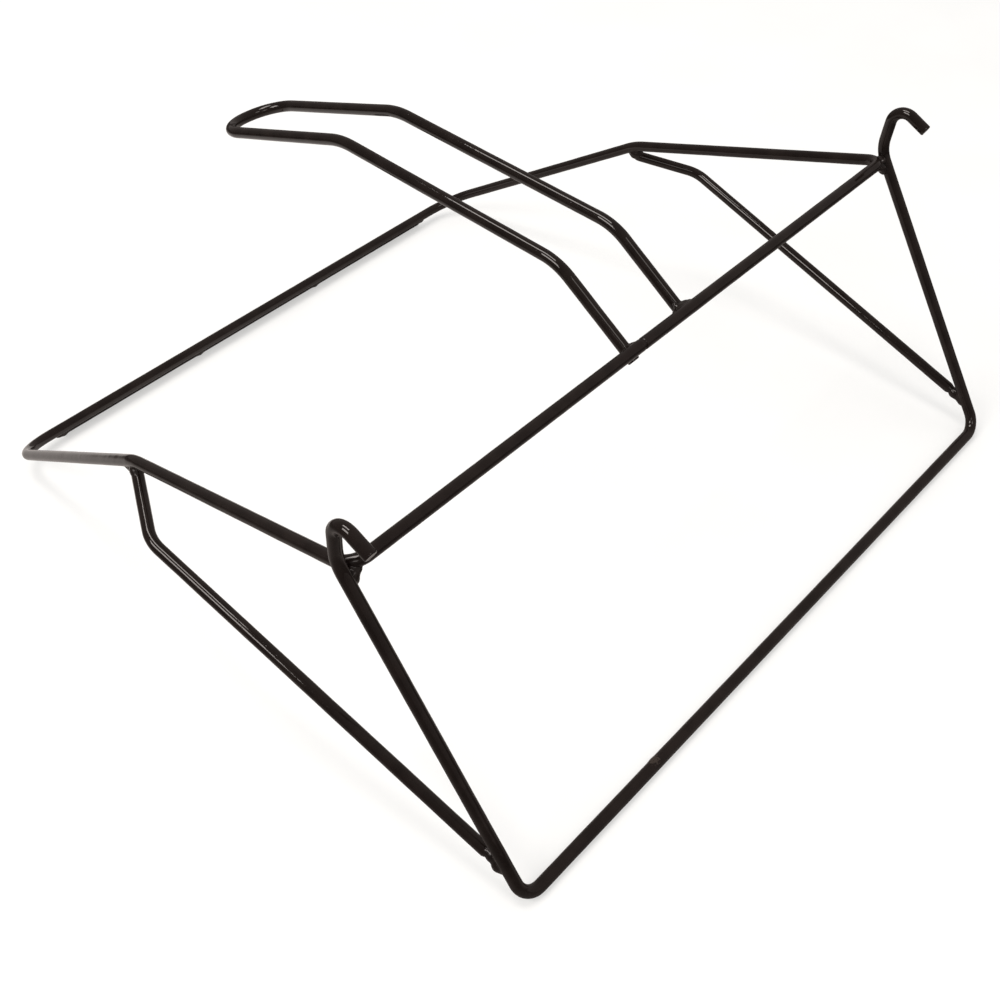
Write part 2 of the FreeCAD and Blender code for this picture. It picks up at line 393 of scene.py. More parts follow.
class Recipe:
    """A material under construction: adds nodes and joins them."""

    # the mix node has a pair of inputs and an output for each data type, all
    # with the same names, so those for colours are found by their place
    MIX_COLOURS = slice(6, 8)
    MIX_RESULT = 2

    def __init__(self, name: str) -> None:
        """Starts a material with only its output and main shader.

        Args:
            name: the material's name.
        """
        self.material = bpy.data.materials.new(name)
        self.material.use_nodes = True
        self.tree = self.material.node_tree
        self.tree.nodes.clear()
        self.output = self.add("ShaderNodeOutputMaterial")
        self.shader = self.add("ShaderNodeBsdfPrincipled")
        self.join(self.shader.outputs["BSDF"], self.output.inputs["Surface"])
        self.place = self.add("ShaderNodeTexCoord").outputs["Object"]

    def add(self, kind: str, **settings: object) -> bpy.types.Node:
        """Adds a node.

        Args:
            kind: the node's type.
            settings: its properties.

        Returns:
            The new node.
        """
        node = self.tree.nodes.new(kind)
        for key, value in settings.items():
            setattr(node, key, value)
        return node

    def join(self, source: bpy.types.NodeSocket, target: bpy.types.NodeSocket) -> None:
        """Joins two sockets."""
        self.tree.links.new(source, target)

    def noise(self, grain: float, detail: float = 2.0,
              rough: float = 0.5) -> bpy.types.NodeSocket:
        """Smooth noise.

        Args:
            grain: length of its waves, in metres.
            detail: how many finer noises are laid over it.
            rough: how strong the finer noises are.

        Returns:
            Values around 0.5.
        """
        node = self.add("ShaderNodeTexNoise")
        node.inputs["Scale"].default_value = 1 / grain
        node.inputs["Detail"].default_value = detail
        node.inputs["Roughness"].default_value = rough
        self.join(self.place, node.inputs["Vector"])
        return node.outputs["Fac"]

    def spots(self, spacing: float) -> bpy.types.NodeSocket:
        """Scattered points.

        Args:
            spacing: distance between two of them, in metres.

        Returns:
            Distance to the nearest point, where 1 is the spacing.
        """
        node = self.add("ShaderNodeTexVoronoi", feature="F1")
        node.inputs["Scale"].default_value = 1 / spacing
        self.join(self.place, node.inputs["Vector"])
        return node.outputs["Distance"]

    def fit(self, source: bpy.types.NodeSocket, low: float, high: float,
            to_low: float, to_high: float) -> bpy.types.NodeSocket:
        """Maps a range of values smoothly onto another one.

        Args:
            source: the values.
            low: value that becomes to_low, as every lower one does.
            high: value that becomes to_high, as every higher one does.
            to_low: start of the new range.
            to_high: end of the new range.

        Returns:
            The mapped values.
        """
        node = self.add("ShaderNodeMapRange", interpolation_type="SMOOTHSTEP")
        for socket, value in zip(("From Min", "From Max", "To Min", "To Max"),
                                 (low, high, to_low, to_high)):
            node.inputs[socket].default_value = value
        self.join(source, node.inputs["Value"])
        return node.outputs["Result"]

    def sum(self, *terms: bpy.types.NodeSocket) -> bpy.types.NodeSocket:
        """Adds values up.

        Args:
            terms: the values.

        Returns:
            Their sum.
        """
        total = terms[0]
        for term in terms[1:]:
            node = self.add("ShaderNodeMath", operation="ADD")
            self.join(total, node.inputs[0])
            self.join(term, node.inputs[1])
            total = node.outputs["Value"]
        return total

    def blend(self, amount: bpy.types.NodeSocket, first: Colour | bpy.types.NodeSocket,
              second: Colour | bpy.types.NodeSocket) -> bpy.types.NodeSocket:
        """Goes from one colour to another.

        Args:
            amount: 0 for the first colour and 1 for the second.
            first: a colour, or a socket that gives one.
            second: another.

        Returns:
            The blended colour.
        """
        node = self.add("ShaderNodeMix", data_type="RGBA")
        self.join(amount, node.inputs["Factor"])
        for socket, colour in zip(node.inputs[self.MIX_COLOURS], (first, second)):
            if isinstance(colour, bpy.types.NodeSocket):
                self.join(colour, socket)
            else:
                socket.default_value = colour
        return node.outputs[self.MIX_RESULT]

    def away_from(self, spot: tuple[float, float, float]) -> bpy.types.NodeSocket:
        """Distance to a fixed spot.

        Args:
            spot: the spot, in metres.

        Returns:
            The distance, in metres.
        """
        node = self.add("ShaderNodeVectorMath", operation="DISTANCE")
        self.join(self.place, node.inputs[0])
        node.inputs[1].default_value = spot
        return node.outputs["Value"]

    def emboss(self, height: bpy.types.NodeSocket, depth: float) -> None:
        """Bends the surface's shading as a relief would.

        Args:
            height: height of the relief.
            depth: how many metres a height of 1 is.
        """
        node = self.add("ShaderNodeBump")
        node.inputs["Strength"].default_value = 1.0
        node.inputs["Distance"].default_value = depth
        self.join(height, node.inputs["Height"])
        self.join(node.outputs["Normal"], self.shader.inputs["Normal"])


@dataclass(frozen=True)
class Scuff:
    """A dull patch in the gloss, where the rod was held while it dried.

    Args:
        place: its middle.
        reach: its radius.
        core: radius of its fully worn part, as a share of the whole.
        rag: how far its edge runs in and out, as a share of the radius.
        rag_grain: distance between two such runs.
    """

    place: tuple[float, float, float]
    reach: float
    core: float = 0.55
    rag: float = 0.3
    rag_grain: float = 1.5 * MM

    def wear(self, recipe: Recipe) -> bpy.types.NodeSocket:
        """How worn the surface is.

        Args:
            recipe: the material under construction.

        Returns:
            1 inside the patch and 0 outside.
        """
        ragged = recipe.fit(recipe.noise(self.rag_grain), low=0.3, high=0.7,
                            to_low=-self.rag * self.reach, to_high=self.rag * self.reach)
        edge = recipe.sum(recipe.away_from(self.place), ragged)
        return recipe.fit(edge, self.core * self.reach, self.reach, 1.0, 0.0)


@dataclass(frozen=True)
class GlossEnamel:
    """Brownish black gloss enamel, dipped and stoved.

    Args:
        name: the material's name.
        deep: colour where the coat is thick.
        thin: colour where the coat is thin.
        scuffed: colour of a dull patch.
        glaze: colour of its reflections.
        shine: roughness range, from wet-looking to hazy.
        scuff_haze: roughness that a dull patch adds.
        cloud: size of the thick and thin areas.
        haze: size of the hazy areas.
        sag: size of the sags.
        peel: wavelength of the orange peel.
        peel_depth: depth of the orange peel.
        nib_spacing: distance between dust nibs.
        pit_spacing: distance between pinholes, in nib spacings.
        scuffs: dull patches.
    """

    name: str
    deep: Colour = (0.0062, 0.0040, 0.0034, 1.0)
    thin: Colour = (0.0105, 0.0072, 0.0061, 1.0)
    scuffed: Colour = (0.034, 0.025, 0.020, 1.0)
    glaze: Colour = (1.0, 0.95, 0.93, 1.0)
    shine: tuple[float, float] = (0.035, 0.09)
    scuff_haze: float = 0.2
    cloud: float = 14.0 * MM
    haze: float = 6.0 * MM
    sag: float = 9.0 * MM
    peel: float = 1.7 * MM
    peel_depth: float = 0.012 * MM
    nib_spacing: float = 5.5 * MM
    pit_spacing: float = 1.7
    scuffs: tuple[Scuff, ...] = ()

    def material(self) -> bpy.types.Material:
        """Builds the material.

        Returns:
            The new material.
        """
        recipe = Recipe(self.name)
        shader = recipe.shader
        shader.inputs["IOR"].default_value = 1.5
        shader.inputs["Specular Tint"].default_value = self.glaze
        clouds = recipe.fit(recipe.noise(self.cloud, detail=3.0), low=0.3, high=0.7,
                            to_low=0.0, to_high=1.0)
        colour = recipe.blend(clouds, self.deep, self.thin)
        haze = recipe.fit(recipe.noise(self.haze), 0.3, 0.75, *self.shine)
        for scuff in self.scuffs:
            worn = scuff.wear(recipe)
            colour = recipe.blend(worn, colour, self.scuffed)
            haze = recipe.sum(haze, recipe.fit(worn, 0.0, 1.0, 0.0, self.scuff_haze))
        recipe.join(colour, shader.inputs["Base Color"])
        recipe.join(haze, shader.inputs["Roughness"])
        recipe.emboss(self._relief(recipe), self.peel_depth)
        return recipe.material

    def _relief(self, recipe: Recipe) -> bpy.types.NodeSocket:
        """Orange peel, sags, dust nibs and pinholes, one on another.

        Args:
            recipe: the material under construction.

        Returns:
            The height, in depths of the orange peel.
        """
        peel = recipe.noise(self.peel, detail=1.0, rough=0.4)
        sags = recipe.fit(recipe.noise(self.sag, detail=1.0), low=0.2, high=0.8,
                          to_low=0.0, to_high=3.0)
        nibs = recipe.fit(recipe.spots(self.nib_spacing), low=0.02, high=0.09,
                          to_low=2.2, to_high=0.0)
        pits = recipe.fit(recipe.spots(self.nib_spacing * self.pit_spacing),
                          low=0.015, high=0.05, to_low=-2.0, to_high=0.0)
        return recipe.sum(peel, sags, nibs, pits)


@dataclass(frozen=True)
class PaleSheet:
    """Matt, nearly white sheet that the rack stands on.

    The gloss of the rack mirrors it as in a dim room, with light and shade painted into its
    colour for glossy rays only:
    a painted pool of light beyond the outer bar, and painted shade outside the lamps' reach.

    Args:
        name: the material's name.
        bright: the lighter of its two shades.
        shade: the darker one.
        glow: light that comes through it from below, which keeps shadows faint.
        lit: how the gloss sees it in the painted pool of light, where the lamps reach best.
        dim: its painted shade as the gloss sees it under the rack.
        dark: its painted shade as the gloss sees it far off.
        lit_spot: the middle of the painted pool of light.
        lit_reach: radius of the painted pool of light.
        dim_spot: the middle of the painted dim area around the rack.
        dim_reach: radius of the painted dim area.
        mottle: size of its lighter and darker areas.
        tooth: grain of its surface.
        tooth_depth: depth of that grain.
    """

    name: str = "pale_sheet"
    bright: Colour = (0.50, 0.497, 0.493, 1.0)
    shade: Colour = (0.48, 0.477, 0.473, 1.0)
    glow: Colour = (0.46, 0.457, 0.45, 1.0)
    lit: Colour = (0.62, 0.58, 0.56, 1.0)
    dim: Colour = (0.31, 0.28, 0.265, 1.0)
    dark: Colour = (0.07, 0.063, 0.06, 1.0)
    lit_spot: tuple[float, float, float] = (-0.12, 0.40, 0.0)
    lit_reach: float = 0.38
    dim_spot: tuple[float, float, float] = (0.08, 0.22, 0.0)
    dim_reach: float = 0.78
    mottle: float = 0.15
    tooth: float = 1.2 * MM
    tooth_depth: float = 0.02 * MM

    def material(self) -> bpy.types.Material:
        """Builds the material.

        Returns:
            The new material.
        """
        recipe = Recipe(self.name)
        recipe.shader.inputs["Roughness"].default_value = 0.9
        recipe.shader.inputs["Specular IOR Level"].default_value = 0.0
        mottle = recipe.fit(recipe.noise(self.mottle, detail=4.0), low=0.3, high=0.7,
                            to_low=0.0, to_high=1.0)
        pale = recipe.blend(mottle, self.bright, self.shade)
        # painted pool of light and painted shade, put into the floor's colour that only
        # glossy rays see
        lit = recipe.fit(recipe.away_from(self.lit_spot), 0.3 * self.lit_reach,
                         self.lit_reach, 1.0, 0.0)
        far = recipe.fit(recipe.away_from(self.dim_spot), 0.5 * self.dim_reach,
                         self.dim_reach, 0.0, 1.0)
        painted_light_and_shade = recipe.blend(lit, recipe.blend(far, self.dim, self.dark), self.lit)
        in_gloss = recipe.add("ShaderNodeLightPath").outputs["Is Glossy Ray"]
        recipe.join(recipe.blend(in_gloss, pale, painted_light_and_shade),
                    recipe.shader.inputs["Base Color"])
        recipe.join(recipe.blend(in_gloss, self.glow, BLACK),
                    recipe.shader.inputs["Emission Color"])
        recipe.shader.inputs["Emission Strength"].default_value = 1.0
        recipe.emboss(recipe.noise(self.tooth), self.tooth_depth)
        return recipe.material


# --------------------------------------------------------------------------
# The rack
# --------------------------------------------------------------------------


@dataclass
class Finishes:
    """The materials that the pieces share: enamel on rods, and duller on beads."""

    rod: bpy.types.Material = field(init=False)
    weld: bpy.types.Material = field(init=False)

    def __post_init__(self) -> None:
        """Makes both materials."""
        held_place = Scuff(tuple(mm(-146, -266.6, 7.5)), 4.4 * MM)
        self.rod = GlossEnamel("rod_gloss_enamel", scuffs=(held_place,)).material()
        self.weld = GlossEnamel("weld_gloss_enamel", shine=(0.12, 0.27), peel=1.2 * MM,
                                peel_depth=0.016 * MM, nib_spacing=3.2 * MM).material()


@dataclass
class Rack:
    """What every sub-assembly needs: the bender, the coat and the finishes.

    Args:
        finishes: the materials.
        bender: the tool that makes the rods.
        coat_depth: difference between the thickest and thinnest coat on a rod.
        coat_grain: distance between two thick places on a rod.
        sharp: least angle between two faces that stays a sharp edge.
    """

    finishes: Finishes
    bender: RodBender = field(default_factory=RodBender)
    coat_depth: float = 0.14 * MM
    coat_grain: float = 14.0 * MM
    sharp: float = math.radians(50)

    def finish(self, piece: bpy.types.Object, node: str, slot: Slot) -> None:
        """Shades and paints a piece and lets it stand for its CAD node.

        Args:
            piece: the finished mesh.
            node: the CAD node that it replaces.
            slot: the record's slot that it takes its finish from.
        """
        Bench.pick(piece)
        bpy.ops.object.shade_smooth_by_angle(angle=self.sharp)
        material = self.finishes.rod if slot is Slot.ROD else self.finishes.weld
        piece.data.materials.clear()
        piece.data.materials.append(material)
        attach(piece, "root")
        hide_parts(node)
        LOG.info("%-22s %6d faces, stands for %s", piece.name,
                 len(piece.data.polygons), node)

    def rod(self, name: str, node: str, route: Route,
            nubs: list[Nub] | None = None) -> None:
        """Bends, coats and paints one rod.

        Args:
            name: the piece's name.
            node: the CAD node that it replaces.
            route: its centre line.
            nubs: swellings of its coat.
        """
        piece = self.bender.make(name, route)
        EnamelCoat.raise_nubs(piece, nubs or [])
        EnamelCoat.spread(piece, self.coat_depth, self.coat_grain)
        self.finish(piece, node, Slot.ROD)


@dataclass
class ShelfLoop:
    """The loop that carries the load: top bar, kinked sides and outer bar.

    Args:
        rack: the bender and the finishes.
        top_corner: where the top bar and the right side would meet.
        kink: where the right side turns down.
        outer_corner: where the right side and the outer bar would meet.
        top_bend: bend radius at the top corner.
        kink_bend: bend radius at the kink.
        outer_bend: bend radius at the outer corner.
        butt_x: where along the top bar the rod's two ends meet.
        butt_gap: gap between the two ends, which the butt weld fills.
    """

    rack: Rack
    top_corner: Vector = field(default_factory=lambda: mm(264.4, -150.5, 191.5))
    kink: Vector = field(default_factory=lambda: mm(254.0, 60.0, 133.0))
    outer_corner: Vector = field(default_factory=lambda: mm(240.5, 263.5, 10.3))
    top_bend: float = 12.0 * MM
    kink_bend: float = 55.0 * MM
    outer_bend: float = 31.0 * MM
    butt_x: float = -21.5 * MM
    butt_gap: float = 1.2 * MM

    @property
    def joint(self) -> Vector:
        """Where the loop's two ends meet."""
        return Vector((self.butt_x, self.top_corner.y, self.top_corner.z))

    def half(self, side: Side) -> Route:
        """One side of the loop, from the top bar's joint to the outer bar's middle.

        Args:
            side: which side.

        Returns:
            Its centre line.
        """
        middle = Vector((0.0, self.outer_corner.y, self.outer_corner.z))
        inner = (self.top_corner, self.kink, self.outer_corner)
        corners = (self.joint, *(side.place(point) for point in inner), middle)
        return Route(corners, (self.top_bend, self.kink_bend, self.outer_bend))

    def route(self) -> Route:
        """The whole loop, from one end of the rod to the other.

        Returns:
            Its centre line.
        """
        gap = Vector((self.butt_gap / 2, 0.0, 0.0))
        right = self.half(Side.RIGHT)
        left = self.half(Side.LEFT).reversed()
        corners = (self.joint + gap, *right.corners[1:-1], *left.corners[1:-1],
                   self.joint - gap)
        return Route(corners, right.bends + left.bends)

    def build(self) -> None:
        """Makes the loop."""
        self.rack.rod("shelf_loop_rod", "shelf_loop", self.route())


@dataclass
class HookFrame:
    """Hook, leg, bottom bar, leg and hook, all one rod.

    Args:
        rack: the bender and the finishes.
        crown: where the right hook's two straight parts would meet.
        leg_top: where the right hook and the right leg would meet.
        foot: where the right leg and the bottom bar would meet.
        hook_bend: bend radius over the crown.
        leg_bend: bend radius at the leg's top.
        foot_bend: bend radius at the foot.
        hook_reach: length of the hook from its crown to its tip.
        hook_drop: how steeply the hook's tip points down.
    """

    rack: Rack
    crown: Vector = field(default_factory=lambda: mm(270.2, -149.6, 233.9))
    leg_top: Vector = field(default_factory=lambda: mm(269.0, -145.8, 196.5))
    foot: Vector = field(default_factory=lambda: mm(266.5, -268.5, 4.0))
    hook_bend: float = 10.0 * MM
    leg_bend: float = 27.0 * MM
    foot_bend: float = 13.0 * MM
    hook_reach: float = 28.5 * MM
    hook_drop: float = math.radians(28.0)

    @property
    def tip(self) -> Vector:
        """End of the right hook."""
        down = Vector((0.0, -math.cos(self.hook_drop), -math.sin(self.hook_drop)))
        return self.crown + down * self.hook_reach

    def half(self, side: Side) -> Route:
        """One side, from the hook's tip to the middle of the bottom bar.

        Args:
            side: which side.

        Returns:
            Its centre line.
        """
        middle = Vector((0.0, self.foot.y, self.foot.z))
        inner = (self.tip, self.crown, self.leg_top, self.foot)
        corners = (*(side.place(point) for point in inner), middle)
        return Route(corners, (self.hook_bend, self.leg_bend, self.foot_bend))

    def route(self) -> Route:
        """The whole frame, from tip to tip.

        Returns:
            Its centre line.
        """
        right = self.half(Side.RIGHT)
        left = self.half(Side.LEFT).reversed()
        return Route(right.corners[:-1] + left.corners[1:], right.bends + left.bends)

    def on_leg(self, height: float) -> Vector:
        """Centre of the right leg at a height."""
        share = (height - self.foot.z) / (self.leg_top.z - self.foot.z)
        return self.foot.lerp(self.leg_top, share)

    def nubs(self) -> list[Nub]:
        """Swellings: a sag on the bottom bar, nibs at its corner, burrs at the tips.

        Returns:
            The swellings.
        """
        return [
            Nub(mm(-146, -266.0, 7.1), mm(0, 0.3, 0.35), 5 * MM),
            Nub(mm(263.5, -268.0, 9.5), mm(-0.05, 0.05, 0.2), 1.4 * MM),
            Nub(mm(259.5, -268.5, 8.0), mm(0, 0, 0.16), 1.3 * MM),
            Nub(mm(-270.2, -172.5, 217.2), mm(0, -0.1, -0.35), 1.8 * MM),
            Nub(mm(270.2, -172.5, 217.2), mm(0, -0.1, -0.3), 1.8 * MM),
        ]

    def build(self) -> None:
        """Makes the frame."""
        self.rack.rod("hook_frame_rod", "hook_frame", self.route(), self.nubs())


@dataclass
class Brace:
    """Rod from under the shelf loop's kink, out and down to the leg's foot.

    Args:
        rack: the bender and the finishes.
        side: which side it is on.
        top: its end under the kink, on the right side.
        bend: where its two straight parts would meet, on the right side.
        foot: its end against the leg, on the right side.
        radius: its bend radius.
    """

    rack: Rack
    side: Side
    top: Vector = field(default_factory=lambda: mm(255.85, 56.94, 124.18))
    bend: Vector = field(default_factory=lambda: mm(281.0, 15.2, 113.0))
    foot: Vector = field(default_factory=lambda: mm(267.58, -241.08, 27.68))
    radius: float = 27.0 * MM

    def route(self) -> Route:
        """The brace on its own side."""
        return Route((self.top, self.bend, self.foot), (self.radius,)).on(self.side)

    def build(self) -> None:
        """Makes the brace."""
        word = self.side.word
        self.rack.rod("brace_rod_" + word, "brace_" + word, self.route())


@dataclass
class RetainingArm:
    """U-shaped rod that rises from the top bar and reaches over the shelf.

    Args:
        rack: the bender and the finishes.
        kink: where the right side turns from rising to reaching out.
        crest: where the right side turns down again.
        end: where the right side and the outer end would meet.
        kink_bend: bend radius at the kink.
        crest_bend: bend radius at the crest.
        end_bend: bend radius at the outer end.
        bar_y: where the top bar's centre line runs.
        bar_height: how high it runs.
        spacing: distance between the arm's centre line and the top bar's.
        tail_left: how far the left root runs on past the top bar.
        tail_right: how far the right root runs on.
    """

    rack: Rack
    kink: Vector = field(default_factory=lambda: mm(27.5, -88.5, 226.3))
    crest: Vector = field(default_factory=lambda: mm(26.5, 100.0, 241.0))
    end: Vector = field(default_factory=lambda: mm(26.5, 237.5, 200.3))
    kink_bend: float = 42.0 * MM
    crest_bend: float = 57.0 * MM
    end_bend: float = 26.2 * MM
    bar_y: float = -150.5 * MM
    bar_height: float = 191.5 * MM
    spacing: float = 8.2 * MM
    tail_left: float = 5.0 * MM
    tail_right: float = 0.2 * MM

    def root(self) -> tuple[Vector, Vector]:
        """The right root, beside the top bar.

        Returns:
            The point nearest the top bar, and which way the root runs on there.
        """
        bar = Vector((self.kink.x, self.bar_y, self.bar_height))
        spread = (bar - self.kink).length
        fall = math.atan2(self.kink.z - bar.z, self.kink.y - bar.y)
        fall += math.asin(self.spacing / spread)
        down = Vector((0.0, -math.cos(fall), -math.sin(fall)))
        return self.kink + down * math.sqrt(spread ** 2 - self.spacing ** 2), down

    def tail(self, side: Side) -> float:
        """How far a side's root runs on past the top bar."""
        return self.tail_right if side is Side.RIGHT else self.tail_left

    def half(self, side: Side) -> Route:
        """One side, from its root to the middle of the outer end.

        Args:
            side: which side.

        Returns:
            Its centre line.
        """
        beside, down = self.root()
        middle = Vector((0.0, self.end.y, self.end.z))
        inner = (beside + down * self.tail(side), self.kink, self.crest, self.end)
        corners = (*(side.place(point) for point in inner), middle)
        return Route(corners, (self.kink_bend, self.crest_bend, self.end_bend))

    def route(self) -> Route:
        """The whole arm, from root to root.

        Returns:
            Its centre line.
        """
        right = self.half(Side.RIGHT)
        left = self.half(Side.LEFT).reversed()
        return Route(right.corners[:-1] + left.corners[1:], right.bends + left.bends)

    def build(self) -> None:
        """Makes the arm."""
        self.rack.rod("retaining_arm_rod", "retaining_arm", self.route())


@dataclass
class EdgeRod:
    """Straight rod under the outer bar, which stands on the floor.

    Args:
        rack: the bender and the finishes.
        span: its length.
        y: where its centre line runs.
        height: how high it runs.
    """

    rack: Rack
    span: float = 400.0 * MM
    y: float = 268.75 * MM
    height: float = 4.0 * MM

    def route(self) -> Route:
        """The rod from its left end to its right one."""
        return self.stretch(-self.span / 2, self.span / 2)

    def stretch(self, start: float, stop: float) -> Route:
        """A stretch of the rod from one X to another."""
        return Route((Vector((start, self.y, self.height)),
                      Vector((stop, self.y, self.height))))

    def build(self) -> None:
        """Makes the rod."""
        self.rack.rod("edge_rod_bar", "edge_rod", self.route())


# --------------------------------------------------------------------------
# Weld beads
# --------------------------------------------------------------------------


@dataclass(frozen=True)
class Puddle:
    """A run of weld metal, laid down drop by drop.

    Args:
        centre: its middle.
        along: which way it was laid.
        half_length: half its length.
        half_width: half its width.
        drops: how many drops it has.
    """

    centre: Vector
    along: Vector
    half_length: float
    half_width: float
    drops: int

    def on(self, side: Side) -> "Puddle":
        """The same run on the side asked for."""
        return replace(self, centre=side.place(self.centre), along=side.place(self.along))


@dataclass
class WeldBead:
    """A bead melted into the rods that it joins.

    It is drops and short lengths of rod melted together and let run. The rod in
    it is thinner than the real one, so only the metal between shows.

    Args:
        rack: the bender and the finishes.
        name: the piece's name.
        node: the CAD node that it replaces.
        puddles: its runs of weld metal.
        stubs: centre lines of the rods that it melts into.
        seed: start of its own random draws.
        melt: how often the surface is evened out.
        grain: size of the mesh's faces.
        stub_share: thickness of the stubs, as a share of the real rod's.
        taper: 0 for a run as wide at its ends as in its middle, 1 for pointed ends.
        luck: least and greatest width of a drop, as a share of the width wanted.
        end_share: how far an end drop reaches beyond its own centre, as a share
            of the run's half width.
        overlap: length of a drop, in distances between two drops.
        coat_depth: difference between the thickest and thinnest coat.
        coat_grain: distance between two thick places.
    """

    rack: Rack
    name: str
    node: str
    puddles: list[Puddle]
    stubs: list[Route]
    seed: int
    melt: int = 40
    grain: float = 0.32 * MM
    stub_share: float = 0.965
    taper: float = 0.66
    luck: tuple[float, float] = (0.96, 1.03)
    end_share: float = 0.75
    overlap: float = 1.25
    coat_depth: float = 0.30 * MM
    coat_grain: float = 4.5 * MM

    def build(self) -> None:
        """Makes the bead."""
        draws = random.Random(self.seed)
        drops = [self._drop(puddle, index, draws) for puddle in self.puddles
                 for index in range(puddle.drops)]
        thin = RodBender(radius=self.rack.bender.radius * self.stub_share, sides=24,
                         feed_step=40 * MM, turn_step=1.5 * MM, end_round=0.5 * MM)
        stubs = [thin.make("stub", route) for route in self.stubs]
        Bench.clear()
        for part in drops + stubs:
            part.select_set(True)
        bpy.context.view_layer.objects.active = drops[0]
        bpy.ops.object.join()
        bead = bpy.context.object
        bead.name = self.name
        self._melt(bead)
        EnamelCoat.spread(bead, self.coat_depth, self.coat_grain)
        self.rack.finish(bead, self.node, Slot.WELD)

    def _drop(self, puddle: Puddle, index: int, draws: random.Random) -> bpy.types.Object:
        """Lays one drop of a run.

        Args:
            puddle: the run.
            index: the drop's place in it.
            draws: the bead's random draws.

        Returns:
            The drop, a ball drawn out along the run.
        """
        share = 2 * index / (puddle.drops - 1) - 1
        swell = math.sqrt(1 - (self.taper * share) ** 2) * draws.uniform(*self.luck)
        width = puddle.half_width * swell
        pitch = 2 * puddle.half_length / puddle.drops
        along = puddle.along.normalized()
        end = self.end_share * puddle.half_width
        Bench.clear()
        bpy.ops.mesh.primitive_uv_sphere_add(
            segments=24, ring_count=14, radius=1.0,
            location=puddle.centre + along * (share * (puddle.half_length - end)),
            rotation=Bench.turned_to(along),
            scale=(width, width, max(end, self.overlap * pitch)))
        return Bench.settle()

    def _melt(self, bead: bpy.types.Object) -> None:
        """Melts the parts into one skin and lets the surface run smooth.

        Args:
            bead: the joined parts.
        """
        bead.data.remesh_voxel_size = self.grain
        bead.data.remesh_voxel_adaptivity = 0.0
        Bench.pick(bead)
        bpy.ops.object.voxel_remesh()
        Bench.edit(bead)
        bpy.ops.mesh.select_all(action="SELECT")
        bpy.ops.mesh.vertices_smooth(factor=0.5, repeat=self.melt)
        Bench.done()


def step(direction: Vector, distance: float) -> Vector:
    """A step of some millimetres in a direction."""
    return direction * distance * MM


